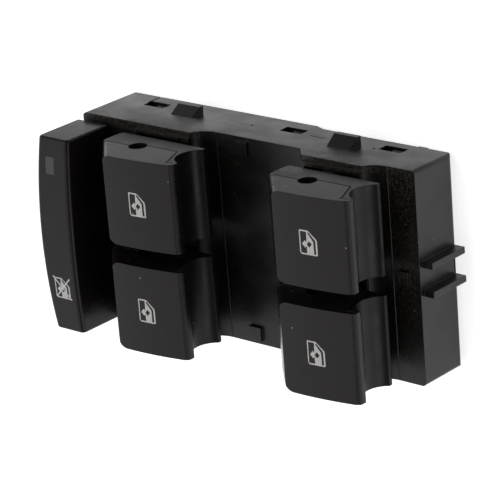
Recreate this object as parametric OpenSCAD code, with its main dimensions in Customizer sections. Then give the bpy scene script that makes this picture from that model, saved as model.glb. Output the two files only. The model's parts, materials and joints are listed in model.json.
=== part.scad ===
// Power window switch for a driver's door: four rockers and a long window-lock button.
// Millimetres. +X runs along the housing away from the lock button, +Y across it, and +Z out of
// the rocker faces. The origin is the middle of the part's length and width, on its rear face.

/* [Housing] */
// Length of the housing
housing_length = 115; // [112:1:126]
// Width of the housing across the side walls
housing_width = 60.6; // [59:0.2:70]
// Height of the right end of the front panel above the rear face
end_height = 17.9; // [17.5:0.1:21]
// How far the middle of the front panel lies below its right end
middle_drop = 0.7; // [0.2:0.1:1.2]
// How far the raised pads stand above the right end
pad_rise = 3.1; // [2.4:0.1:3.6]
// Thickness of the side and end walls
wall = 1.8; // [1.4:0.1:2.4]
// Thickness of the thinnest part of the front panel
panel_thick = 2; // [1.6:0.1:2.3]
// Corner radius of the housing seen from the front
corner_r = 1.2; // [0.6:0.1:2]
// Radius of the right end's rear corners seen from the side
rear_corner_r = 1.6; // [0.8:0.1:2.4]
// How much shorter the side walls are behind the right half
rim_step = 1.3; // [0.6:0.1:1.6]
// Place of that step, from the right end
rim_step_from_end = 46.7; // [40:0.5:50]

/* [Front panel] */
// Right edge of the left pad, from the left end
left_pad_end = 40.2; // [39:0.2:41]
// Left foot of the right pad, from the pivot of the right column
right_pad_reach = 14.5; // [13.8:0.1:15]
// Length of the sloped side of the right pad
right_pad_slope = 3.5; // [2:0.1:4.5]
// Radius of the scoops under the pull lips
scoop_r = 7.2; // [6.4:0.1:8.4]
// Depth of the rocker wells below the pads
well_depth = 3; // [2.4:0.1:3.2]
// Radius of the fine bead at the foot of each scoop
bead_r = 0.22; // [0.1:0.02:0.4]
// Height of the collar round each pair of wells
collar_rise = 0.8; // [0.4:0.1:1.4]

/* [Snap features] */
// Places of the first two snap windows along the side walls, from the left end
window_at = [11.3, 61.4];
// Place of the third snap window, from the right end
window_from_end = 19.5; // [17:0.1:21]
// Length of a snap window
window_length = 7.4; // [6:0.2:9]
// Height of a snap window
window_height = 3.6; // [3:0.1:4]
// Lower edge of the snap windows above the rear face
window_low = 4.3; // [4:0.1:4.8]
// Place of the first snap wedge, from the left end
wedge_from_left = 24.3; // [23:0.1:26]
// Place of the second snap wedge, from the right end
wedge_from_end = 33.4; // [32:0.1:35]
// Length of a snap wedge
wedge_length = 7.8; // [5:0.2:10]
// Height of each wedge out of the side wall
wedge_out = [2.2, 2.7];
// Upper end of each wedge's ramp below the right end of the panel
wedge_top = [7, 5.4];
// Length of a wedge's ramp
wedge_ramp = 3.5; // [2.4:0.1:4.4]
// Length of the flat behind a wedge's ramp
wedge_flat = 1.6; // [1:0.1:2.4]
// How far the guide ribs stand out of the right end
rib_out = 3.2; // [2:0.1:4]
// Thickness of a guide rib
rib_thick = 1.8; // [1.4:0.1:2.6]
// Distance between the middles of the guide ribs
rib_pitch = 8.1; // [6:0.1:12]

/* [Rockers] */
// Pivot of the left column, from the left end
pivot_at = 30.9; // [30.5:0.1:31.5]
// Pivot of the right column, from the right end
pivot_from_end = 24.2; // [23.6:0.1:25]
// Distance between the two rockers of a column
row_pitch = 31; // [30:0.1:33]
// Length of a rocker along its pivot
rocker_length = 25.6; // [24.4:0.1:26.4]
// Height of the pivot above the right end of the panel
pivot_rise = 14.2; // [13.6:0.1:15]
// Bore of the rocker
pivot_bore = 5.3; // [4.8:0.1:5.6]
// Radial clearance of the pivot
pivot_clear = 0.08; // [0.05:0.01:0.1]
// Radius of the rocker's front face
face_r = 100; // [80:5:140]
// Height of the front face's crest above the pivot
face_rise = 10.3; // [9.8:0.1:10.8]
// Radius of the finger groove
groove_r = 6.5; // [6:0.1:6.8]
// Thickness of the glossy cap
cap_skin = 1.6; // [1.2:0.1:1.8]
// Width of the seam that shows between the cap and the carrier
seam_gap = 0.28; // [0.1:0.02:0.4]
// Thickness of the cap over the ends of the carrier
cap_end = 1.1; // [0.8:0.1:1.4]
// Thickness of the carrier's end walls
carrier_end = 2; // [1.6:0.1:2.4]
// Greatest turn of a rocker to either side, in degrees
rocker_turn = 8; // [6:0.5:8.5]

/* [Lock button] */
// Width of the lock button
lock_width = 10.8; // [9.6:0.1:11.2]
// Length of the lock button
lock_length = 57.2; // [50:0.2:57.4]
// How far the lock button's left side bows out
lock_bow = 2; // [1:0.1:2.4]
// Place of the bow's peak, from the middle towards the lens end
lock_bow_at = 3; // [0:0.5:5]
// Height of the lock button's crest above the right end of the panel
lock_rise = 23.2; // [22:0.1:24.5]
// How far the crest stands above the ends
lock_crown = 2; // [1.2:0.1:2.6]
// Place of the crest, from the middle towards the icon end
lock_crest = 5; // [0:0.5:8]
// Radius of the long front edges
lock_edge_r = 1.5; // [0.8:0.1:1.8]
// Radius of the edges round both ends
lock_end_r = 0.6; // [0.3:0.1:0.7]
// Travel of the lock button
lock_travel = 1.6; // [1.2:0.1:2]
// Wall of the lock button
lock_wall = 1.5; // [1.2:0.1:1.8]
// Indicator lens, along X and Y
lens_size = [3.1, 4.9];

/* [Electronics] */
// Thickness of the circuit board
board_thick = 1.6; // [1.2:0.2:1.6]
// Room between the circuit board and the front panel
board_room = 4; // [3.8:0.1:4.2]
// Width of the connector along X
socket_length = 26; // [22:0.5:30]
// Width of the connector along Y
socket_width = 13; // [11:0.5:16]
// Wall of the connector
socket_wall = 1.2; // [1:0.1:1.6]
// Place of the connector, from the middle of the housing
socket_offset = 0; // [-3:0.5:4]
// Pins in each of the connector's two rows
pin_count = 8; // [4:1:8]
// Distance between the connector's pins
pin_pitch = 2.54; // [2:0.02:2.54]

/* [Hidden] */

$fn = 48;
// Sides of the very large circles
big_fn = 720;
// Gap between pieces that move past each other
running_gap = 0.3;
// Gap between pieces that are assembled and stay still
fit_gap = 0.15;
// Reach of a tool solid past the material it cuts
past = 1;

// Levels above the rear face
middle_z = end_height - middle_drop;
pad_z = end_height + pad_rise;
well_z = pad_z - well_depth;
ceiling_z = middle_z - panel_thick;
board_top = ceiling_z - board_room;
board_under = board_top - board_thick;
column_pitch = housing_length - pivot_at - pivot_from_end;
right_pad_start = pivot_at + column_pitch - right_pad_reach;
rim_step_at = housing_length - rim_step_from_end;
window_x = [window_at[0], window_at[1], housing_length - window_from_end];
wedge_x = [wedge_from_left, housing_length - wedge_from_end];
pivot_z = end_height + pivot_rise;
left_x = -(housing_length + rib_out - lock_bow) / 2;
right_x = left_x + housing_length;
mid_x = (left_x + right_x) / 2;
half_w = housing_width / 2;
inner_w = housing_width - 2 * wall;
inner_l = housing_length - 2 * wall;

// Rocker places: 1 and 2 are the left column from the top, 3 and 4 the right column
function rocker_x(i) = left_x + pivot_at + (i > 1 ? column_pitch : 0);
function rocker_y(i) = (i % 2 == 0 ? 1 : -1) * row_pitch / 2;

// Rocker section, measured from the pivot: X along the housing, Y up
rear_v = -7.2;
nose = [[-11.5, rear_v], [-12.35, -6.3], [-13.65, -2.2], [-12.9, 0.6], [-11.55, 2.3],
        [-5.35, 8.9], [-4.1, 9.9], [-3, 12]];
slant_out = 10;
slant_turn = 46.8;
slant_edge_r = 2.2;
nose_edge_r = 1.6;
lip_u = 19.6;
lip_inset = 0.6;
heel_u = 18.3;
groove_at = [21.6, -0.5];
seam_left = 0.8;
seam_right = -1.3;
seam_corner_u = 13;
seam_top = [16.2, 6.3];
cavity_left = -9.6;
cavity_right = 11.6;
cavity_top = 6.6;

// Marks of the mould and the two keys, measured from the left end and the front edge
mark_x = [housing_length * 0.45, housing_length * 0.819];
mark_drop = 9.9;
mark_r = 0.4;
mark_depth = 0.25;
dash_x = housing_length * 0.624;
dash_size = [5.4, 0.35];
key_x = housing_length * 0.485;
key_from_side = 3.2;
key_size = [4.2, 4.1, 1.4];
key_proud = 0.9;

// Collar and well on a pad, measured from the pivot
collar_left = 10.8;
collar_wall = 1.2;

// Lever, slider and posts
lever_w = 2.4;
lever_tip_r = 1.5;
lever_half_y = 3;
tip_z = board_top + 1.9;
arm = pivot_z - tip_z;
slide_travel = arm * rocker_turn * PI / 180;
slider_h = 2.3;
slider_z = board_top + running_gap;
slider_left = 7;
slider_wall = 1;
post_r = 4;
post_thick = 3.4;
post_out = rocker_length / 2 - cap_end - carrier_end - running_gap;
pin_r = pivot_bore / 2 - pivot_clear;
pin_end = rocker_length / 2 - 1.5;
guide_u = 6.6;
guide_size = [2.4, 5];
guide_top = pivot_z + 2.6;
guide_foot = [4.4, 7, 1];

// Lock button
lock_x = left_x + lock_width / 2;
lock_low = pad_z + lock_travel + running_gap;
lock_top = end_height + lock_rise;
lock_r = (lock_length / 2 + lock_crest) * (lock_length / 2 + lock_crest) / (2 * lock_crown);
lock_stations = 9;
slice_thick = 0.3;
stem_size = 4.4;
leg_size = [5, 6];
leg_at = lock_length / 2 - 8.6;
leg_hook = 0.8;
lens_at = [3.8, lock_length / 2 - 8];
plunger_r = 1.7;
switch_size = [6.4, 6.4, 4];
switch_top = board_top + switch_size[2];
stem_z = switch_top + lock_travel + 0.5;

// Small parts under the board
chip_x = left_x + pivot_at - 3.4;
chip_side = 10;
chip_thick = 1.5;
lead_size = [1.2, 0.35, 0.9];
can_r = 2.5;
can_x = [left_x + 14.5, right_x - 34.5];
array_x = mid_x - 13.2;
array_step = 4.4;
array_size = [2, 1.2, 0.6];
coil_size = [6.4, 5, 2.2];

// Cover
cover_thick = 2;
cover_lip = 3.4;
hook_w = 4.6;
board_gap = 0.4;
boss_r = 2;
boss_at = [for (x = [left_x + 15.5, mid_x, right_x - 5.5], side = [-1, 1]) [x, side * (half_w - 6.3)]];

// Extrude a section given in X and Z along Y, centred
module along_y(length) {
    rotate([90, 0, 0]) linear_extrude(length, center = true) children();
}

// Extrude a section given in Y and Z along X, centred
module along_x(length) {
    rotate([90, 0, 90]) linear_extrude(length, center = true) children();
}

// Box given by its low corner and size
module block(low, size) {
    translate(low) cube(size);
}

// Box centred in X and Y that stands on a level
module tile(at, size, z) {
    translate([at[0] - size[0] / 2, at[1] - size[1] / 2, z]) cube([size[0], size[1], size[2]]);
}

// Rectangle with four round corners, centred
module round_rect(size, r) {
    square([size[0] - 2 * r, size[1]], center = true);
    square([size[0], size[1] - 2 * r], center = true);
    for (sx = [-1, 1], sy = [-1, 1])
        translate([sx * (size[0] / 2 - r), sy * (size[1] / 2 - r)]) circle(r);
}

// Housing

// Plan of the housing, drawn in by a margin
module footprint(margin, r) {
    translate([left_x + housing_length / 2, 0])
        round_rect([housing_length - 2 * margin, housing_width - 2 * margin], r);
}

// Side view of the housing's outside: pads, scoops, sloped flank and rear step
module housing_side() {
    difference() {
        polygon([
            [0, 0], [rim_step_at, 0], [rim_step_at + 3.3, rim_step], [housing_length, rim_step],
            [housing_length, end_height], [right_scoop_x(), end_height], [right_scoop_x(), pad_z],
            [right_pad_start + right_pad_slope, pad_z], [right_pad_start, middle_z],
            [left_scoop_x(), middle_z], [left_scoop_x(), pad_z], [0, pad_z]
        ]);
        // Rounded rear corner at the right end
        difference() {
            translate([housing_length - rear_corner_r, rim_step - past])
                square([rear_corner_r + past, rear_corner_r + past]);
            translate([housing_length - rear_corner_r, rim_step + rear_corner_r]) circle(rear_corner_r);
        }
        translate([left_scoop_x(), middle_z + scoop_r]) circle(scoop_r, $fn = 96);
        translate([right_scoop_x(), end_height + scoop_r]) circle(scoop_r, $fn = 96);
    }
}

// A scoop is tangent to the level panel beside it and ends at the pad's edge
function scoop_run(rise) = sqrt(scoop_r * scoop_r - (scoop_r - rise) * (scoop_r - rise));
function left_scoop_x() = left_pad_end + scoop_run(pad_z - middle_z);
function right_scoop_x() = left_pad_end + column_pitch + scoop_run(pad_z - end_height);

module housing_shell() {
    difference() {
        intersection() {
            translate([left_x, 0, 0]) along_y(housing_width + 2) housing_side();
            translate([0, 0, -past])
                linear_extrude(pad_z + 2 * past) footprint(0, corner_r);
        }
        translate([0, 0, -past])
            linear_extrude(ceiling_z + past) footprint(wall, corner_r / 2);
        // Deeper pocket under the lock button
        block([left_x + wall, -lock_length / 2, ceiling_z - past], [lock_width, lock_length, past + 2.2]);
    }
}

// Low collar round the two wells of a column
module well_collar(x) {
    low_x = x - collar_left;
    high_x = left_pad_end - pivot_at + x;
    length = row_pitch + rocker_length + 1;
    difference() {
        block([low_x, -length / 2, pad_z - past], [high_x - low_x, length, collar_rise + past]);
        block([low_x + collar_wall, collar_wall - length / 2, pad_z - 2 * past],
              [high_x - low_x - 2 * collar_wall, length - 2 * collar_wall, collar_rise + 3 * past]);
    }
}

// What is cut out of the front panel for one rocker
module well_cut(i) {
    x = rocker_x(i);
    y = rocker_y(i);
    well_half_y = rocker_length / 2 - 1;
    low_x = x - collar_left + collar_wall;
    high_x = left_pad_end - pivot_at + x - collar_wall;
    block([low_x, y - well_half_y, well_z], [high_x - low_x, 2 * well_half_y, well_depth + 2 * past]);
    // Slot for the lever
    swing = (pivot_z - ceiling_z) * sin(rocker_turn) + lever_w / 2 + 2 * running_gap;
    block([x - swing, y - lever_half_y - running_gap, ceiling_z - past],
          [2 * swing, 2 * (lever_half_y + running_gap), well_z - ceiling_z + 2 * past]);
    // Hole for the light guide
    tile([x + guide_u, y], [guide_size[0] + 2 * fit_gap, guide_size[1] + 2 * fit_gap, well_z - ceiling_z + 2 * past],
         ceiling_z - past);
}

// Two posts with the pivot pins of one rocker
module pivot_posts(i) {
    for (side = [-1, 1]) translate([rocker_x(i), rocker_y(i), 0]) {
        translate([0, side * (post_out - post_thick / 2), 0]) along_y(post_thick) {
            translate([-post_r, well_z - 0.5]) square([2 * post_r, pivot_z - well_z + 0.5]);
            translate([0, pivot_z]) circle(post_r);
        }
        translate([0, side * (pin_end + post_out - 0.5) / 2, pivot_z]) rotate([90, 0, 0])
            cylinder(r = pin_r, h = pin_end - post_out + 0.5, center = true);
    }
}

// Rails under the panel that guide one contact slider
module slider_rails(i) {
    for (side = [-1, 1])
        tile([rocker_x(i) - 2, rocker_y(i) + side * (slider_half_y() + running_gap + 0.6)],
             [18, 1.2, ceiling_z + 0.5 - board_top - running_gap], board_top + running_gap);
}

function slider_half_y() = lever_half_y + running_gap + slider_wall;

// Snap window with the slit that lets the first one spring
module snap_windows(side) {
    for (x = window_x)
        block([left_x + x, side > 0 ? half_w - wall - past : -half_w - past, window_low],
              [window_length, wall + 2 * past, window_height]);
    block([left_x + window_x[0] - 0.5, side > 0 ? half_w - wall - past : -half_w - past, -past],
          [0.6, wall + 2 * past, window_low + 1.2 + past]);
}

// Snap wedge: a ramp that rises towards the rear, then a flat and a square shoulder
module snap_wedge(k, side) {
    top = end_height - wedge_top[k];
    scale_y = side * wedge_out[k];
    translate([left_x + wedge_x[k] + wedge_length / 2, side * half_w, 0]) along_x(wedge_length)
        polygon([[-side * 0.5, top], [0, top], [scale_y, top - wedge_ramp],
                 [scale_y, top - wedge_ramp - wedge_flat], [-side * 0.5, top - wedge_ramp - wedge_flat]]);
}

// Fine marks that the mould leaves on a side wall
module wall_marks(side) {
    for (x = mark_x)
        translate([left_x + x, side * half_w, end_height - mark_drop]) rotate([90, 0, 0])
            cylinder(r = mark_r, h = 2 * mark_depth, center = true, $fn = 24);
    block([left_x + dash_x, side * half_w - mark_depth, end_height - mark_drop - 0.7],
          [dash_size[0], 2 * mark_depth, dash_size[1]]);
}

module housing() {
    color([0.09, 0.09, 0.095]) difference() {
        union() {
            difference() {
                union() {
                    housing_shell();
                    for (i = [0, 2]) well_collar(rocker_x(i));
                }
                for (i = [0:3]) well_cut(i);
                lock_openings();
            }
            for (i = [0:3]) pivot_posts(i);
            for (i = [0:3]) slider_rails(i);
            for (side = [-1, 1], k = [0, 1]) snap_wedge(k, side);
            for (side = [-1, 1])
                block([right_x - 0.5, side * rib_pitch / 2 - rib_thick / 2, 2.2],
                      [rib_out + 0.5, rib_thick, end_height - 3.6]);
            // Bosses that the circuit board seats on
            for (at = boss_at) translate([at[0], at[1], board_top])
                cylinder(r = boss_r, h = ceiling_z + 0.5 - board_top);
            // Fine bead where each scoop meets the level panel
            for (at = [[left_scoop_x(), middle_z], [right_scoop_x(), end_height]])
                translate([left_x + at[0], 0, at[1]]) rotate([90, 0, 0])
                    cylinder(r = bead_r, h = housing_width - 0.6, center = true, $fn = 24);
            // Small bump on the rear edge of each side wall
            for (side = [-1, 1])
                block([right_x - 11.2, side > 0 ? half_w - wall : -half_w, rim_step - 0.5], [3, wall, 1]);
            // Small keys on the front panel
            tile([right_x - 5.05, 0], [3.4, 3.8, 1.6], end_height - 0.5);
            for (side = [-1, 1])
                tile([left_x + key_x, side * (half_w - key_from_side)], key_size,
                     middle_z + key_proud - key_size[2]);
        }
        for (side = [-1, 1]) snap_windows(side);
        for (side = [-1, 1]) wall_marks(side);
        // Groove beside the rear edge of the right end
        block([right_x - 0.8, -3, 2.1], [1.6, 6, 0.8]);
    }
}

// Lock button

// Radius of the arc that bows the left side out; it meets the housing's end at the icon end
function bow_r() = (pow(lock_length / 2 + lock_bow_at, 2) + lock_bow * lock_bow) / (2 * lock_bow);

// Left side of the lock button at a place along it
function bow_x(y) = left_x - lock_bow + bow_r() - sqrt(bow_r() * bow_r() - pow(y - lock_bow_at, 2));

// Height of the crown at a place along the button
function crown_z(y) = lock_top - lock_r + sqrt(lock_r * lock_r - (y + lock_crest) * (y + lock_crest));

// One slice across the lock button, drawn in by a margin
module lock_slice(y, margin) {
    round_z = crown_z(y) - lock_edge_r;
    right_edge = left_x + lock_width;
    translate([0, y, 0]) rotate([90, 0, 0]) linear_extrude(slice_thick, center = true) {
        for (x = [bow_x(y) + lock_edge_r, right_edge - lock_edge_r])
            translate([x, round_z]) circle(lock_edge_r - margin, $fn = 40);
        polygon([[bow_x(y) + margin, lock_low], [right_edge - margin, lock_low], [lock_x, round_z]]);
    }
}

// Outside of the button: a convex skin over slices, the last ones drawn in to round the ends
module lock_outside() {
    end_y = lock_length / 2 - slice_thick / 2;
    hull() {
        for (k = [-lock_stations:lock_stations]) lock_slice((end_y - lock_end_r) * k / lock_stations, 0);
        for (s = [-1, 1], turn = [30, 60, 85])
            lock_slice(s * (end_y - lock_end_r * (1 - sin(turn))), lock_end_r * (1 - cos(turn)));
    }
}

// Holes in the panel for the stem and the guide legs
module lock_openings() {
    gap = 2 * running_gap;
    tile([lock_x, 0], [stem_size + gap, stem_size + gap, 10], ceiling_z);
    for (s = [-1, 1]) tile([lock_x, s * leg_at], [leg_size[0] + gap, leg_size[1] + gap, 10], ceiling_z);
}

module lock_button() {
    color([0.07, 0.07, 0.075]) difference() {
        union() {
            difference() {
                lock_outside();
                tile([lock_x, 0], [lock_width - 2 * lock_wall, lock_length - 2 * lock_wall,
                                   lock_top - lock_low - lock_crown - 2 * lock_wall], lock_low);
            }
            tile([lock_x, 0], [stem_size, stem_size, lock_rear_z() + 0.5 - stem_z], stem_z);
            for (s = [-1, 1]) {
                tile([lock_x, s * leg_at], [leg_size[0], leg_size[1], lock_rear_z() + 0.5 - leg_low()], leg_low());
                // Hook that catches behind the panel
                tile([lock_x, s * (leg_at + leg_hook / 2)], [leg_size[0], leg_size[1] + leg_hook, 1.4], leg_low());
            }
        }
        lens_hole(0);
    }
}

// Inner face of the lock button's front wall
function lock_rear_z() = lock_top - lock_crown - 2 * lock_wall;

// Lower end of the guide legs, whose hooks stop under the pocket's ceiling
function leg_low() = ceiling_z + 2.2 - running_gap - 1.4;

// Prism that the indicator lens fills
module lens_hole(gap) {
    tile([left_x + lens_at[0], lens_at[1]], [lens_size[0] + gap, lens_size[1] + gap, 12], lock_rear_z() - 2);
}

module indicator_lens() {
    color([0.45, 0.46, 0.48]) intersection() {
        lock_outside();
        lens_hole(0);
    }
}

module lock_plunger() {
    color([0.85, 0.85, 0.82]) translate([lock_x, 0, switch_top - 1.9])
        cylinder(r = plunger_r, h = stem_z - switch_top + 1.9);
}

module lock_switch_body() {
    color([0.15, 0.15, 0.15]) difference() {
        tile([lock_x, 0], switch_size, board_top);
        translate([lock_x, 0, board_top + 0.2]) cylinder(r = plunger_r + pivot_clear, h = switch_size[2]);
    }
}

// Rockers

// Outline of a rocker seen along its pivot
module rocker_outline() {
    intersection() {
        difference() {
            polygon(concat(nose, [[lip_u - 1, 12], [lip_u - 1, 8.2], [lip_u - 0.3, 7.9], [lip_u, 7.2], [lip_u, -5.9],
                                  [heel_u, -5.9], [heel_u, rear_v]]));
            translate(groove_at) circle(groove_r, $fn = 96);
        }
        translate([-1, face_rise - face_r]) circle(face_r, $fn = 360);
    }
}

// Region above the seam between the cap and the carrier
module above_seam() {
    polygon([[-20, seam_left], [0, seam_left], [0, seam_right], [seam_corner_u, seam_right],
             [seam_top[0], seam_top[1]], [seam_top[0], 20], [-20, 20]]);
    // Thin skin that runs on over the pull lip
    difference() {
        translate([seam_top[0] - 0.01, 0]) square([10, 20]);
        translate([0, -cap_skin]) rocker_outline();
    }
}

// Core of the carrier that fills the cap
module carrier_core() {
    intersection() {
        rocker_outline();
        translate([0, -cap_skin]) rocker_outline();
        translate([cap_skin, 0]) rocker_outline();
        translate([-lip_inset, 0]) rocker_outline();
    }
}

// Bounds that round the rocker's ends where they meet the slanted side and the nose
module rocker_bounds() {
    intersection() {
        rotate([0, -slant_turn, 0]) translate([-20, 0, 0]) along_z_slab(slant_out);
        translate([0, 0, -20]) linear_extrude(40) nose_plan();
    }
}

// Slab whose outer long edges are rounded, extruded along the slant
module along_z_slab(out) {
    translate([20, 0, 0]) rotate([90, 0, 90]) linear_extrude(80, center = true) {
        translate([-rocker_length / 2, -60]) square([rocker_length, 60 + out - slant_edge_r]);
        translate([-rocker_length / 2 + slant_edge_r, 0]) square([rocker_length - 2 * slant_edge_r, out]);
        for (s = [-1, 1]) translate([s * (rocker_length / 2 - slant_edge_r), out - slant_edge_r])
            circle(slant_edge_r);
    }
}

// Rocker seen from the front, with the nose corners rounded
module nose_plan() {
    left = -13.65;
    translate([left + nose_edge_r, -rocker_length / 2]) square([40, rocker_length]);
    translate([left, -rocker_length / 2 + nose_edge_r]) square([40, rocker_length - 2 * nose_edge_r]);
    for (s = [-1, 1]) translate([left + nose_edge_r, s * (rocker_length / 2 - nose_edge_r)])
        circle(nose_edge_r);
}

module pivot_hole() {
    rotate([90, 0, 0]) cylinder(r = pivot_bore / 2, h = rocker_length + 2, center = true);
}

module rocker_cap() {
    difference() {
        intersection() {
            along_y(rocker_length) intersection() {
                rocker_outline();
                above_seam();
            }
            rocker_bounds();
        }
        along_y(rocker_length - 2 * cap_end) carrier_core();
        pivot_hole();
    }
}

module rocker_carrier() {
    cavity_length = rocker_length - 2 * (cap_end + carrier_end);
    difference() {
        union() {
            intersection() {
                along_y(rocker_length) difference() {
                    rocker_outline();
                    above_seam();
                    translate([seam_gap, -seam_gap]) above_seam();
                }
                rocker_bounds();
            }
            along_y(rocker_length - 2 * cap_end) carrier_core();
        }
        along_y(cavity_length) polygon([
            [cavity_left, -20], [cavity_left, 1], [cavity_left + 4.8, cavity_top], [cavity_right, cavity_top],
            [cavity_right, -2.6], [cavity_right + 1.2, -20]
        ]);
        pivot_hole();
        // Window that lets the light through to the symbol
        tile([guide_u + 1.2, 0], [5, 6, 6], cavity_top - 1);
    }
    // Lever with a round tip
    along_y(2 * lever_half_y) {
        translate([-lever_w / 2, -arm]) square([lever_w, arm + cavity_top + 0.5]);
        translate([0, -arm]) circle(lever_tip_r);
    }
}

module contact_slider(i) {
    slot = lever_tip_r + running_gap;
    color([0.8, 0.78, 0.7]) translate([rocker_x(i), rocker_y(i), slider_z]) difference() {
        block([-slider_left, -slider_half_y(), 0], [slider_left + slot + slider_wall, 2 * slider_half_y(), slider_h]);
        block([-slot, -lever_half_y - running_gap, -past],
              [2 * slot, 2 * (lever_half_y + running_gap), slider_h + 2 * past]);
    }
}

module light_guide(i) {
    at = [rocker_x(i) + guide_u, rocker_y(i)];
    color([0.9, 0.92, 0.95, 0.6]) {
        tile(at, [guide_size[0], guide_size[1], guide_top - ceiling_z + 0.2], ceiling_z - 0.2);
        tile(at, guide_foot, ceiling_z - guide_foot[2]);
    }
}

module place_rocker(i) {
    translate([rocker_x(i), rocker_y(i), pivot_z]) children();
}

// Board, connector and small parts

module circuit_board() {
    color([0.08, 0.3, 0.14]) difference() {
        tile([mid_x, 0], [inner_l - 2 * board_gap, inner_w - 2 * board_gap - 3.2, board_thick], board_under);
        pin_grid(0.86, board_under - past, board_thick + 2 * past);
    }
}

socket_x = mid_x + socket_offset;
socket_low = 0.4;
socket_floor = 2;

// Square prisms on the connector's pin grid
module pin_grid(side, z, height) {
    for (row = [-1, 1], k = [0:pin_count - 1])
        tile([socket_x + (k - (pin_count - 1) / 2) * pin_pitch, row * pin_pitch], [side, side, height], z);
}

module connector_header() {
    high = board_under;
    color([0.13, 0.13, 0.14]) difference() {
        tile([socket_x, 0], [socket_length, socket_width, high - socket_low], socket_low);
        tile([socket_x, 0], [socket_length - 2 * socket_wall, socket_width - 2 * socket_wall,
                             high - socket_low - socket_floor + past], socket_low - past);
        // Slot for the plug's latch
        tile([socket_x, socket_width / 2], [5, 4 * socket_wall, 3.4], socket_low - past);
        pin_grid(0.7, socket_low, high);
    }
}

module connector_pins() {
    color([0.8, 0.68, 0.4]) pin_grid(0.64, 3.2, board_top + 1 - 3.2);
}

module rear_cover() {
    plate = [inner_l - 2 * fit_gap, inner_w - 2 * fit_gap];
    opening = [socket_length + 2 * fit_gap, socket_width + 2 * fit_gap];
    hook_top = window_low + window_height - 0.4;
    color([0.11, 0.11, 0.115]) difference() {
        union() {
            linear_extrude(cover_thick) footprint(wall + fit_gap, corner_r / 2);
            // Lip inside the walls, and a collar round the connector
            difference() {
                tile([mid_x, 0], [plate[0] - 0.6, plate[1] - 0.6, cover_lip + 0.5], cover_thick - 0.5);
                tile([mid_x, 0], [plate[0] - 3.2, plate[1] - 3.2, cover_lip + 3], cover_thick - past);
            }
            tile([socket_x, 0], [opening[0] + 2.4, opening[1] + 2.4, 2.5], cover_thick - 0.5);
            // Posts that clamp the board against the housing's bosses
            for (at = boss_at) translate([at[0], at[1], cover_thick - 0.5])
                cylinder(r = boss_r, h = board_under - cover_thick + 0.5);
            // Latch tabs with hooks that fill most of each snap window
            for (side = [-1, 1], x = window_x) {
                hook_x = left_x + x + window_length - hook_w / 2 - 0.3;
                low_y = side > 0 ? plate[1] / 2 - 1.6 : -plate[1] / 2;
                block([hook_x - hook_w / 2, low_y, cover_thick - 0.5], [hook_w, 1.6, hook_top - cover_thick + 0.5]);
                translate([hook_x, side * plate[1] / 2, 0]) along_x(hook_w)
                    polygon([[-side * 0.5, window_low + 0.2], [side * 1.2, window_low + 0.2],
                             [side * 0.2, hook_top], [-side * 0.5, hook_top]]);
            }
        }
        tile([socket_x, 0], [opening[0], opening[1], 10], -past);
        cover_reliefs();
    }
}

// Slots beside the latch tabs that let them bend
module cover_reliefs() {
    for (side = [-1, 1], x = window_x, end = [-1, 1]) {
        hook_x = left_x + x + window_length - hook_w / 2 - 0.3;
        tile([hook_x + end * (hook_w / 2 + 0.4), side * (inner_w / 2 - 1.6)], [0.8, 4, 10], cover_thick + 0.2);
    }
}

module icon_leds() {
    color([0.95, 0.93, 0.8]) for (i = [0:3])
        tile([rocker_x(i) + guide_u, rocker_y(i)], [1.2, 2, 0.8], board_top);
}

module indicator_led() {
    color([0.95, 0.8, 0.5]) tile([left_x + lens_at[0], lens_at[1] - 6], [1.2, 2, 0.8], board_top);
}

module microcontroller() {
    color([0.1, 0.1, 0.1]) {
        tile([chip_x, 0], [chip_side, chip_side, chip_thick], board_under - chip_thick);
        // Leads along the four sides
        for (k = [-5:5], turn = [0, 90, 180, 270]) translate([chip_x, 0, 0]) rotate([0, 0, turn])
            tile([chip_side / 2 + lead_size[0] / 3, k * chip_side / 12.5], lead_size, board_under - lead_size[2]);
    }
}

module capacitors() {
    tall = 0.7 * (board_under - cover_thick);
    color([0.6, 0.6, 0.63]) for (x = can_x, side = [-1, 1])
        translate([x, side * half_w * 0.5, board_under - tall]) cylinder(r = can_r, h = tall);
}

module chip_parts() {
    color([0.25, 0.22, 0.2]) for (s = [-1, 1]) {
        for (k = [-2:2])
            tile([array_x + array_step * k, s * half_w * 0.5], array_size, board_under - array_size[2]);
        tile([rocker_x(2) + coil_size[0], s * half_w * 0.4], coil_size, board_under - coil_size[2]);
    }
}

cap_colour = [0.06, 0.06, 0.065];
carrier_colour = [0.12, 0.12, 0.125];

housing();
rear_cover();
circuit_board();
connector_header();
connector_pins();
color(cap_colour) place_rocker(0) rocker_cap();  // rocker_cap_1
color(cap_colour) place_rocker(1) rocker_cap();  // rocker_cap_2
color(cap_colour) place_rocker(2) rocker_cap();  // rocker_cap_3
color(cap_colour) place_rocker(3) rocker_cap();  // rocker_cap_4
color(carrier_colour) place_rocker(0) rocker_carrier();  // rocker_carrier_1
color(carrier_colour) place_rocker(1) rocker_carrier();  // rocker_carrier_2
color(carrier_colour) place_rocker(2) rocker_carrier();  // rocker_carrier_3
color(carrier_colour) place_rocker(3) rocker_carrier();  // rocker_carrier_4
contact_slider(0);  // contact_slider_1
contact_slider(1);  // contact_slider_2
contact_slider(2);  // contact_slider_3
contact_slider(3);  // contact_slider_4
light_guide(0);  // light_guide_1
light_guide(1);  // light_guide_2
light_guide(2);  // light_guide_3
light_guide(3);  // light_guide_4
lock_button();
indicator_lens();
lock_plunger();
lock_switch_body();
icon_leds();
indicator_led();
microcontroller();
capacitors();
chip_parts();
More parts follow.
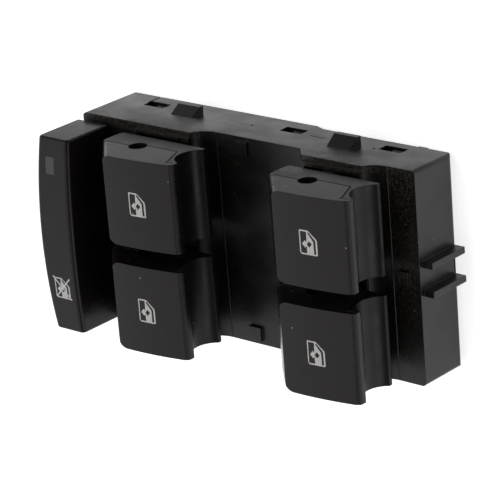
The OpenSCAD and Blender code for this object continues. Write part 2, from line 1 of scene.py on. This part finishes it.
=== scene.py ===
# %% [markdown]
# Power window switch of a driver's door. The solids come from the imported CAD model, and this file
# dresses them: moulded black plastics, printed symbols, dust in the corners, a soft studio and the
# camera of the photograph. Every size below is in metres, in the frame that the CAD model uses:
# +X runs along the housing away from the lock button, +Y across it, +Z out of the rocker faces.

# %% Load the fixed frame
import bpy
import bmesh
import json
from mathutils import Matrix, Vector
from mathutils.bvhtree import BVHTree


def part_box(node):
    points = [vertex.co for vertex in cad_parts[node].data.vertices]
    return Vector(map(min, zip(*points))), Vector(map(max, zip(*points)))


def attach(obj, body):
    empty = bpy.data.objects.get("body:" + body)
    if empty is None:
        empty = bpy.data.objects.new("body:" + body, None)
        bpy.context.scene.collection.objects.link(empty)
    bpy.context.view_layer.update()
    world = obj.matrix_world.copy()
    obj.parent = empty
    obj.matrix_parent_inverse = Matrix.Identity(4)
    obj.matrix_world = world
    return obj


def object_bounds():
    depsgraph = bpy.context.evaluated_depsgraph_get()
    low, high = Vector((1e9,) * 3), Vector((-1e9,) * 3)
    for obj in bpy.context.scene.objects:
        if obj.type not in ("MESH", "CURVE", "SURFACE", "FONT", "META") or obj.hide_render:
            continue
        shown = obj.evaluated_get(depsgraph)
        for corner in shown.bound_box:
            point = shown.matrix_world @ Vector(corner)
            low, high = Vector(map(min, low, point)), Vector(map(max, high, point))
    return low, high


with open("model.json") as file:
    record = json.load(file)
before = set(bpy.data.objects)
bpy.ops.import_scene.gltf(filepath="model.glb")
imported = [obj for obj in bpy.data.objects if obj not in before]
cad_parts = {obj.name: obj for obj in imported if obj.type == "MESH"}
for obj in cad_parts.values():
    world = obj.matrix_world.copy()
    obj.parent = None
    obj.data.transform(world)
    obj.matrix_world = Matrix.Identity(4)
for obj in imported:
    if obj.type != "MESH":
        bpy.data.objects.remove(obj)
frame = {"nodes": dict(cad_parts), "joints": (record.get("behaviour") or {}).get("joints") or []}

MM = 0.001
cad_low, cad_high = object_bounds()
print("CAD box in mm:", [round(v / MM, 1) for v in (*cad_low, *cad_high)])

# %% [markdown]
# The photograph was taken with a long lens from the right of the switch and a little above it, while
# the switch stood on its long side. Seen in the switch's own frame the camera is rolled, so its three
# directions are written down one by one and put in a matrix, instead of aiming it with an angle pair.

# %% Camera at the photograph's angle
camera_data = bpy.data.cameras.new("photo_camera")
camera_data.sensor_width = 36
camera_data.lens = 206.4
camera_data.clip_start = 0.05
camera_data.clip_end = 20
camera = bpy.data.objects.new("photo_camera", camera_data)
bpy.context.scene.collection.objects.link(camera)
picture_right = Vector((0.76202, -0.07356, -0.64336))
picture_up = Vector((-0.17172, 0.93500, -0.31030))
picture_back = Vector((0.62437, 0.34693, 0.69986))
turn = Matrix((picture_right, picture_up, picture_back)).transposed().to_4x4()
camera.matrix_world = Matrix.Translation(Vector((490.51, 271.42, 569.82)) * MM) @ turn
bpy.context.scene.camera = camera
print("camera distance in m:", round(camera.location.length, 3))

# %% [markdown]
# The world, the floor and every plastic are built from the same few shader nodes. These helpers add
# one node each, join it up and hand back its output socket. A value can be a number or a socket.

# %% Node helpers


def feed(tree, value, socket):
    if hasattr(value, "node"):
        tree.links.new(value, socket)
    else:
        socket.default_value = value


def maths(tree, kind, a, b):
    node = tree.nodes.new("ShaderNodeMath")
    node.operation = kind
    for value, socket in zip((a, b), node.inputs):
        feed(tree, value, socket)
    return node.outputs[0]


def remap(tree, value, low, high, to_low, to_high):
    """Turn low..high into to_low..to_high along a smooth step, flat beyond both ends."""
    node = tree.nodes.new("ShaderNodeMapRange")
    node.interpolation_type = "SMOOTHSTEP"
    labels = ("Value", "From Min", "From Max", "To Min", "To Max")
    for label, number in zip(labels, (value, low, high, to_low, to_high)):
        feed(tree, number, node.inputs[label])
    return node.outputs["Result"]


def noise(tree, where, scale, detail=2.0, rough=0.5):
    node = tree.nodes.new("ShaderNodeTexNoise")
    node.inputs["Scale"].default_value = scale
    node.inputs["Detail"].default_value = detail
    node.inputs["Roughness"].default_value = rough
    tree.links.new(where, node.inputs["Vector"])
    return node.outputs["Fac"]


def object_place(tree):
    return tree.nodes.new("ShaderNodeTexCoord").outputs["Object"]


def apart(tree, place):
    node = tree.nodes.new("ShaderNodeSeparateXYZ")
    tree.links.new(place, node.inputs[0])
    return node.outputs


def seen_directly(tree, path):
    """1 for what the camera sees, also through clear plastic, and 0 for mirrors and lighting."""
    return maths(tree, "MAXIMUM", path.outputs["Is Camera Ray"], path.outputs["Is Transmission Ray"])


# %% [markdown]
# Black plastic gets most of its look from what it mirrors. In the photograph the space behind the
# switch is white, the room around is dim, and one broad pale patch on the camera's left lights the
# rocker faces. The world does this with direction: dim all round, with a soft patch towards one side.

# %% World light
PATCH_WAY = (-0.62, -0.35, 0.70)
PATCH_START, PATCH_FULL = 0.25, 0.95
ROOM_LEVEL, PATCH_LEVEL, BACKDROP_LEVEL = 0.12, 1.05, 1.0

world = bpy.data.worlds.new("studio")
world.use_nodes = True
bpy.context.scene.world = world
tree = world.node_tree
tree.nodes.clear()
towards = tree.nodes.new("ShaderNodeVectorMath")
towards.operation = "DOT_PRODUCT"
towards.inputs[1].default_value = PATCH_WAY
tree.links.new(tree.nodes.new("ShaderNodeTexCoord").outputs["Generated"], towards.inputs[0])
room = remap(tree, towards.outputs["Value"], PATCH_START, PATCH_FULL, ROOM_LEVEL, PATCH_LEVEL)
level = tree.nodes.new("ShaderNodeMix")
level.data_type = "FLOAT"
level.inputs["B"].default_value = BACKDROP_LEVEL
tree.links.new(seen_directly(tree, tree.nodes.new("ShaderNodeLightPath")), level.inputs["Factor"])
tree.links.new(room, level.inputs["A"])
background = tree.nodes.new("ShaderNodeBackground")
background.inputs["Color"].default_value = (1, 1, 1, 1)
out = tree.nodes.new("ShaderNodeOutputWorld")
tree.links.new(level.outputs["Result"], background.inputs["Strength"])
tree.links.new(background.outputs[0], out.inputs["Surface"])

# %% [markdown]
# Two large soft lamps give the edges their thin highlights. Both stand well off the switch, so their
# light is even over its whole length.

# %% Soft studio lamps
LAMP_SIZE = 0.8


def soft_lamp(name, place, watts):
    data = bpy.data.lights.new(name, "AREA")
    data.shape = "SQUARE"
    data.size = LAMP_SIZE
    data.energy = watts
    lamp = bpy.data.objects.new(name, data)
    bpy.context.scene.collection.objects.link(lamp)
    lamp.location = place
    lamp.rotation_mode = "QUATERNION"
    lamp.rotation_quaternion = (-Vector(place)).to_track_quat("-Z", "Y")


soft_lamp("key_lamp", (-0.3, 0.9, 1.2), 3)
soft_lamp("fill_lamp", (1.2, -0.5, 0.5), 3.9)

# %% [markdown]
# The floor is a plain white sheet under the switch. To the camera and in mirrors it adds enough light
# of its own to meet the white of the world, and what is left of its plain shading keeps a soft shadow.
# What the side walls mirror of it is brightest close to the left part of the switch, as on the photo,
# and grows again beyond the right end, which the end wall mirrors.

# %% Floor
FLOOR_HALF = 6.0
FLOOR_GAP = 0.0002
FLOOR_GLOW = 0.75

bm = bmesh.new()
bmesh.ops.create_grid(bm, x_segments=1, y_segments=1, size=FLOOR_HALF)
bmesh.ops.translate(bm, verts=bm.verts, vec=(0, 0, cad_low.z - FLOOR_GAP))
floor_mesh = bpy.data.meshes.new("floor")
bm.to_mesh(floor_mesh)
bm.free()
floor = bpy.data.objects.new("floor", floor_mesh)
bpy.context.scene.collection.objects.link(floor)

floor_paint = bpy.data.materials.new("floor_paint")
floor_paint.use_nodes = True
tree = floor_paint.node_tree
tree.nodes.clear()
plain = tree.nodes.new("ShaderNodeBsdfDiffuse")
plain.inputs["Color"].default_value = (0.8, 0.8, 0.8, 1)
spot = apart(tree, object_place(tree))
# Painted reflection: the floor's glow on glossy rays is shaped along X and across Y. The switch's side
# walls mirror more light near its left part, and the end wall mirrors more beyond the right end.
along = remap(tree, spot["X"], -0.02, 0.05, 0.90, 0.66)
across = remap(tree, spot["Y"], 0.034, 0.044, 1.0, 0.10)
beyond = remap(tree, spot["X"], 0.056, 0.062, 1.0, 1.22)
path = tree.nodes.new("ShaderNodeLightPath")
painted_reflection = maths(tree, "MULTIPLY", maths(tree, "MULTIPLY", along, across), beyond)
painted_reflection = maths(tree, "MULTIPLY", path.outputs["Is Glossy Ray"], painted_reflection)
to_eye = maths(tree, "MULTIPLY", seen_directly(tree, path), FLOOR_GLOW)
glow = tree.nodes.new("ShaderNodeEmission")
tree.links.new(maths(tree, "ADD", painted_reflection, to_eye), glow.inputs["Strength"])
both = tree.nodes.new("ShaderNodeAddShader")
out = tree.nodes.new("ShaderNodeOutputMaterial")
tree.links.new(plain.outputs[0], both.inputs[0])
tree.links.new(glow.outputs[0], both.inputs[1])
tree.links.new(both.outputs[0], out.inputs["Surface"])
floor_mesh.materials.append(floor_paint)

# %% [markdown]
# Three effects come back in several plastics, so each is a node group that is built once. The first is
# the fine spark-eroded grain of the mould, which breaks up the gloss. It puts out a height for a Bump
# node and a roughness.

# %% Mould grain


def group(name, ins, outs):
    tree = bpy.data.node_groups.new(name, "ShaderNodeTree")
    for label, kind, value in ins:
        socket = tree.interface.new_socket(label, in_out="INPUT", socket_type=kind)
        if value is not None:
            socket.default_value = value
    for label in outs:
        tree.interface.new_socket(label, in_out="OUTPUT", socket_type="NodeSocketFloat")
    return tree, tree.nodes.new("NodeGroupInput").outputs, tree.nodes.new("NodeGroupOutput").inputs


PLACE_INPUT = ("Place", "NodeSocketVector", None)

grain_group, given, result = group(
    "mould_grain",
    [PLACE_INPUT, ("Roughness", "NodeSocketFloat", 0.4), ("Spread", "NodeSocketFloat", 0.08)],
    ["Height", "Roughness"])
fine = noise(grain_group, given["Place"], 5200, 2)
broad = noise(grain_group, given["Place"], 120, 3)
low = maths(grain_group, "SUBTRACT", given["Roughness"], given["Spread"])
high = maths(grain_group, "ADD", given["Roughness"], given["Spread"])
grain_group.links.new(fine, result["Height"])
grain_group.links.new(remap(grain_group, broad, 0.3, 0.7, low, high), result["Roughness"])

# %% [markdown]
# The second is dust: a thin brownish film that lies in patches, and a few pale specks. It puts out two
# masks. The third is the faint streaks that wiping leaves, longer along the housing than across it.

# %% Dust and wipe marks
dust_group, given, result = group("dust", [PLACE_INPUT], ["Film", "Specks"])
patches = remap(dust_group, noise(dust_group, given["Place"], 1500, 4, 0.7), 0.46, 0.7, 0.0, 1.0)
cells = dust_group.nodes.new("ShaderNodeTexVoronoi")
cells.inputs["Scale"].default_value = 330
dust_group.links.new(given["Place"], cells.inputs["Vector"])
dots = remap(dust_group, cells.outputs["Distance"], 0.045, 0.09, 1.0, 0.0)
cell_colour = dust_group.nodes.new("ShaderNodeSeparateColor")
dust_group.links.new(cells.outputs["Color"], cell_colour.inputs[0])
few = remap(dust_group, cell_colour.outputs["Red"], 0.72, 0.78, 0.0, 1.0)
dust_group.links.new(patches, result["Film"])
dust_group.links.new(maths(dust_group, "MULTIPLY", dots, few), result["Specks"])

wipe_group, given, result = group("wipe_marks", [PLACE_INPUT], ["Mask"])
stretch = wipe_group.nodes.new("ShaderNodeMapping")
stretch.inputs["Scale"].default_value = (60, 900, 500)
wipe_group.links.new(given["Place"], stretch.inputs["Vector"])
streaks = noise(wipe_group, stretch.outputs[0], 1.0, 3, 0.6)
wipe_group.links.new(remap(wipe_group, streaks, 0.52, 0.75, 0.0, 1.0), result["Mask"])

# %% [markdown]
# The black plastics are one recipe with different values: a near-black base, the mould grain in gloss
# and bump, wipe marks that dull the gloss a little, and dust that can be kept to a part of the piece.
# The recipe is a function, because every plastic needs the same chain of nodes. A Bevel node softens
# the moulded edges by a quarter of a millimetre, so that they catch a thin line of light.

# %% Black plastic recipe
GRAIN_DEPTH = 0.00002
EDGE_RADIUS = 0.00025
FILM_COLOUR = (0.085, 0.062, 0.038)
SPECK_COLOUR = (0.45, 0.43, 0.4)
WIPE_DULLS, FILM_DULLS = 0.06, 0.4


def material(name):
    made = bpy.data.materials.new(name)
    made.use_nodes = True
    return made, made.node_tree, made.node_tree.nodes["Principled BSDF"]


def effect(tree, source, place):
    node = tree.nodes.new("ShaderNodeGroup")
    node.node_tree = source
    tree.links.new(place, node.inputs["Place"])
    return node


def blend_colour(tree, mask, a, b):
    node = tree.nodes.new("ShaderNodeMix")
    node.data_type = "RGBA"
    tree.links.new(mask, node.inputs["Factor"])
    for value, socket in ((a, node.inputs[6]), (b, node.inputs[7])):
        feed(tree, value if hasattr(value, "node") else (*value, 1), socket)
    return node.outputs[2]


def add_grain(tree, shader, place, roughness, spread, bump):
    """Give the surface its grain; hands back the grain's roughness and the Bump node."""
    grain = effect(tree, grain_group, place)
    grain.inputs["Roughness"].default_value = roughness
    grain.inputs["Spread"].default_value = spread
    lift = tree.nodes.new("ShaderNodeBump")
    lift.inputs["Strength"].default_value = bump
    lift.inputs["Distance"].default_value = GRAIN_DEPTH
    tree.links.new(grain.outputs["Height"], lift.inputs["Height"])
    tree.links.new(lift.outputs[0], shader.inputs["Normal"])
    return grain.outputs["Roughness"], lift


def black_plastic(name, colour, gloss, roughness, spread, bump, film, specks, dust_at=None):
    made, tree, shader = material(name)
    shader.inputs["Specular IOR Level"].default_value = gloss
    place = object_place(tree)
    grain_rough, lift = add_grain(tree, shader, place, roughness, spread, bump)
    dust = effect(tree, dust_group, place)
    wiped = effect(tree, wipe_group, place)
    film_mask = maths(tree, "MULTIPLY", dust.outputs["Film"], film)
    if dust_at is not None:
        film_mask = maths(tree, "MULTIPLY", film_mask, dust_at(tree, place))
    speck_mask = maths(tree, "MULTIPLY", dust.outputs["Specks"], specks)
    shade = blend_colour(tree, film_mask, colour, FILM_COLOUR)
    shade = blend_colour(tree, speck_mask, shade, SPECK_COLOUR)
    tree.links.new(shade, shader.inputs["Base Color"])
    rough = maths(tree, "ADD", grain_rough, maths(tree, "MULTIPLY", wiped.outputs["Mask"], WIPE_DULLS))
    rough = maths(tree, "ADD", rough, maths(tree, "MULTIPLY", film_mask, FILM_DULLS))
    tree.links.new(rough, shader.inputs["Roughness"])
    soft_edge = tree.nodes.new("ShaderNodeBevel")
    soft_edge.samples = 6
    soft_edge.inputs["Radius"].default_value = EDGE_RADIUS
    tree.links.new(soft_edge.outputs[0], lift.inputs["Normal"])
    return made


# %% [markdown]
# On the housing the dust lies where a finger or a cloth doesn't reach: on the pads beyond the rocker
# ends, and thinner on the panels beside the pull lips, where it thins out further towards -Y.

# %% Where the housing is dusty
PANEL_LEVEL = 0.0172
PAD_LEVEL = 0.0205
LEFT_DUST, RIGHT_DUST = 0.35, 0.9

lip_ends = [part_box(name)[1].x for name in ("rocker_carrier_1", "rocker_carrier_3")]
rocker_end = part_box("rocker_carrier_1")[1].y


def band(tree, value, start, end, soft):
    """1 between start and end, fading to 0 over soft outside them."""
    up = remap(tree, value, start - soft, start, 0.0, 1.0)
    down = remap(tree, value, end, end + soft, 1.0, 0.0)
    return maths(tree, "MULTIPLY", up, down)


def dust_places(tree, place):
    at = apart(tree, place)
    left = band(tree, at["X"], lip_ends[0] - 0.003, lip_ends[0] + 0.002, 0.004)
    left = maths(tree, "MULTIPLY", left, LEFT_DUST)
    right = band(tree, at["X"], lip_ends[1] - 0.004, lip_ends[1] + 0.0025, 0.003)
    right = maths(tree, "MULTIPLY", right, remap(tree, at["Y"], -0.03, 0.015, 0.4, 1.0))
    right = maths(tree, "MULTIPLY", right, RIGHT_DUST)
    above_panel = remap(tree, at["Z"], PANEL_LEVEL - 0.0007, PANEL_LEVEL, 0.0, 1.0)
    panels = maths(tree, "MULTIPLY", maths(tree, "ADD", left, right), above_panel)
    past_end = remap(tree, at["Y"], rocker_end - 0.001, rocker_end, 0.0, 1.0)
    rise = maths(tree, "MULTIPLY",
                 remap(tree, at["Z"], PANEL_LEVEL - 0.0006, PANEL_LEVEL - 0.0001, 0.0, 1.0),
                 remap(tree, at["Z"], PANEL_LEVEL, PAD_LEVEL, 0.3, 1.0))
    return maths(tree, "MAXIMUM", panels, maths(tree, "MULTIPLY", past_end, rise))


# %% The black plastics
housing_black = black_plastic("housing_black", (0.0055, 0.0052, 0.0054), gloss=0.35, roughness=0.34,
                              spread=0.06, bump=0.35, film=0.8, specks=0.25, dust_at=dust_places)
cap_black = black_plastic("cap_black", (0.0093, 0.0066, 0.0070), gloss=0.24, roughness=0.25,
                          spread=0.05, bump=0.22, film=0.04, specks=0.7)
carrier_black = black_plastic("carrier_black", (0.0070, 0.0062, 0.0064), gloss=0.22, roughness=0.33,
                              spread=0.06, bump=0.35, film=0.08, specks=0.4)
button_black = black_plastic("button_black", (0.0093, 0.0066, 0.0070), gloss=0.22, roughness=0.27,
                             spread=0.05, bump=0.22, film=0.04, specks=0.25)
cover_black = black_plastic("cover_black", (0.035, 0.035, 0.037), gloss=0.5, roughness=0.45,
                            spread=0.08, bump=0.3, film=0.12, specks=0.2)
chip_black = black_plastic("chip_black", (0.012, 0.012, 0.012), gloss=0.5, roughness=0.5,
                           spread=0.06, bump=0.3, film=0.0, specks=0.1)

# %% [markdown]
# The pieces inside are seen only through gaps, but each has its own finish:
# green lacquer on the board, tinned pins, ivory sliders, clear light guides. Each mottles between two
# close colours.

# %% Finishes of the inner pieces


def tinted(name, colour, other, scale, roughness, metal=0.0, coat=0.0, bump=0.1):
    made, tree, shader = material(name)
    place = object_place(tree)
    mottled = remap(tree, noise(tree, place, scale, 3), 0.35, 0.65, 0.0, 1.0)
    tree.links.new(blend_colour(tree, mottled, colour, other), shader.inputs["Base Color"])
    grain_rough, _ = add_grain(tree, shader, place, roughness, 0.06, bump)
    tree.links.new(grain_rough, shader.inputs["Roughness"])
    shader.inputs["Metallic"].default_value = metal
    shader.inputs["Coat Weight"].default_value = coat
    return made


board_lacquer = tinted("board_lacquer", (0.012, 0.10, 0.03), (0.02, 0.15, 0.045), 240, 0.32, coat=0.4)
tinned_pin = tinted("tinned_pin", (0.72, 0.60, 0.34), (0.62, 0.52, 0.32), 900, 0.28, metal=1.0)
can_metal = tinted("can_metal", (0.62, 0.63, 0.65), (0.5, 0.51, 0.54), 500, 0.3, metal=1.0)
slider_ivory = tinted("slider_ivory", (0.62, 0.58, 0.48), (0.55, 0.51, 0.42), 300, 0.48)
led_resin = tinted("led_resin", (0.78, 0.70, 0.42), (0.85, 0.80, 0.6), 700, 0.25, coat=0.3)
lens_grey = tinted("lens_grey", (0.018, 0.019, 0.024), (0.024, 0.025, 0.031), 400, 0.3,
                   coat=0.1, bump=0.05)

guide_clear, tree, shader = material("guide_clear")
clear_rough = remap(tree, noise(tree, object_place(tree), 600, 2), 0.3, 0.7, 0.12, 0.22)
tree.links.new(clear_rough, shader.inputs["Roughness"])
shader.inputs["Base Color"].default_value = (0.9, 0.93, 0.96, 1)
shader.inputs["Transmission Weight"].default_value = 0.9
shader.inputs["IOR"].default_value = 1.49

# %% Give every CAD node its finish
finishes = {
    "housing": housing_black, "rear_cover": cover_black, "connector_header": chip_black,
    "connector_pins": tinned_pin, "circuit_board": board_lacquer, "lock_button": button_black,
    "indicator_lens": lens_grey, "lock_plunger": slider_ivory, "lock_switch_body": chip_black,
    "icon_leds": led_resin, "indicator_led": led_resin, "microcontroller": chip_black,
    "capacitors": can_metal, "chip_parts": chip_black,
}
for number in range(1, 5):
    finishes[f"rocker_cap_{number}"] = cap_black
    finishes[f"rocker_carrier_{number}"] = carrier_black
    finishes[f"contact_slider_{number}"] = slider_ivory
    finishes[f"light_guide_{number}"] = guide_clear
for name, node in frame["nodes"].items():
    node.data.materials.clear()
    node.data.materials.append(finishes[name])
print("CAD nodes with a finish:", len(frame["nodes"]))

# %% [markdown]
# The symbols are thin pad prints on the curved caps. Each is drawn flat as closed loops, filled with
# its holes, cut into narrow strips so that it can bend, and then dropped on to the cap along Z. A ray
# finds the surface under each point, so the print always sits on the piece that carries it.

# %% White print
INK_HEIGHT = 0.00003
RAY_START = 0.2

white_print, tree, shader = material("white_print")
place = object_place(tree)
worn = remap(tree, noise(tree, place, 2600, 3), 0.3, 0.6, 0.0, 1.0)
ink = blend_colour(tree, worn, (0.45, 0.44, 0.43), (0.60, 0.59, 0.57))
tree.links.new(ink, shader.inputs["Base Color"])
tree.links.new(remap(tree, noise(tree, place, 900, 2), 0.3, 0.7, 0.42, 0.55), shader.inputs["Roughness"])


def drop_on(bm, node):
    source = frame["nodes"][node].data
    surface = BVHTree.FromPolygons([v.co for v in source.vertices], [p.vertices for p in source.polygons])
    for vert in bm.verts:
        hit, normal, _, _ = surface.ray_cast(Vector((vert.co.x, vert.co.y, RAY_START)), Vector((0, 0, -1)))
        vert.co = hit + normal * INK_HEIGHT


def pad_print(name, node, body, centre, size, loops, strips=9):
    """loops are closed outlines in parts of size about centre; inner ones are holes."""
    bm = bmesh.new()
    for loop in loops:
        verts = [bm.verts.new((centre[0] + u * size[0], centre[1] + v * size[1], 0)) for u, v in loop]
        for a, b in zip(verts, verts[1:] + verts[:1]):
            bm.edges.new((a, b))
    bmesh.ops.triangle_fill(bm, use_beauty=True, use_dissolve=False, edges=bm.edges, normal=(0, 0, 1))
    left = centre[0] - 0.5 * size[0]
    for step in range(1, strips):
        bmesh.ops.bisect_plane(bm, geom=bm.verts[:] + bm.edges[:] + bm.faces[:],
                               plane_co=(left + size[0] * step / strips, 0, 0), plane_no=(1, 0, 0))
    drop_on(bm, node)
    bmesh.ops.recalc_face_normals(bm, faces=bm.faces)
    if sum(face.normal.z for face in bm.faces) < 0:
        bmesh.ops.reverse_faces(bm, faces=bm.faces)
    mesh = bpy.data.meshes.new(name)
    bm.to_mesh(mesh)
    bm.free()
    mesh.materials.append(white_print)
    made = bpy.data.objects.new(name, mesh)
    bpy.context.scene.collection.objects.link(made)
    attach(made, body)


# %% [markdown]
# The window symbol is a door's window frame with the pane half wound down and a double arrow: one
# arrow head stands in the empty part, the other is a hole in the pane. Its outline was measured on the
# photograph: a box about 5.5 by 6.75 mm with one slanted corner.

# %% Window symbols on the rocker caps
SYMBOL_AHEAD = 0.00725

door_outline = [(-0.47, 0.5), (-0.5, 0.47), (-0.5, -0.42), (-0.42, -0.5), (0.46, -0.5), (0.5, -0.46),
                (0.5, 0.09), (0.47, 0.17), (0.02, 0.49), (-0.06, 0.5)]
empty_part = [(-0.435, 0.44), (-0.435, -0.44), (-0.09, -0.44), (-0.10, -0.14), (-0.185, -0.22),
              (-0.36, -0.07), (-0.185, 0.09), (-0.10, 0.01), (-0.08, 0.44)]
pane_gap = [(-0.02, 0.38), (0.28, 0.08), (0.29, 0.03), (0.295, -0.44), (0.415, -0.44), (0.405, 0.07),
            (0.38, 0.14), (0.03, 0.44)]
arrow_hole = [(0.045, 0.07), (-0.095, -0.065), (0.035, -0.2), (0.2, -0.05)]
window_loops = [door_outline, empty_part, pane_gap, arrow_hole]
symbol_size = (0.0055, 0.00675)
for number in range(1, 5):
    joint = next(j for j in frame["joints"] if j["child"] == f"rocker_{number}")
    pivot = Vector(joint["pos_m"])
    pad_print(f"window_symbol_{number}", f"rocker_cap_{number}", f"rocker_{number}",
              (pivot.x + SYMBOL_AHEAD, pivot.y), symbol_size, window_loops)
print("window symbols: 4, each", [round(v / MM, 2) for v in symbol_size], "mm")

# %% [markdown]
# The lock button carries the same symbol crossed out. The cross is two slim bars that run past the
# window frame, printed as pieces of their own over the frame. Their ends are in millimetres from the
# symbol's centre.

# %% Crossed symbol on the lock button
BAR_WIDTH = 0.45

plunger_low, plunger_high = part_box("lock_plunger")
lock_centre = ((plunger_low.x + plunger_high.x) / 2 - 0.0004, -0.0155)
pad_print("lock_symbol", "lock_button", "lock", lock_centre, (0.0056, 0.0062), window_loops, strips=5)


def bar(name, start, end):
    start, end = Vector(start), Vector(end)
    along = (end - start).normalized()
    side = Vector((-along.y, along.x)) * BAR_WIDTH / 2
    corners = [start + side, start - side, end - side, end + side]
    pad_print(name, "lock_button", "lock", lock_centre, (MM, MM), [[(c.x, c.y) for c in corners]], strips=1)


bar("lock_cross_1", (-2.6, -2.9), (3.1, 3.3))
bar("lock_cross_2", (-3.3, 3.3), (3.1, -3.15))

# %% Finish with the standard view transform
bpy.context.scene.view_settings.view_transform = "Standard"
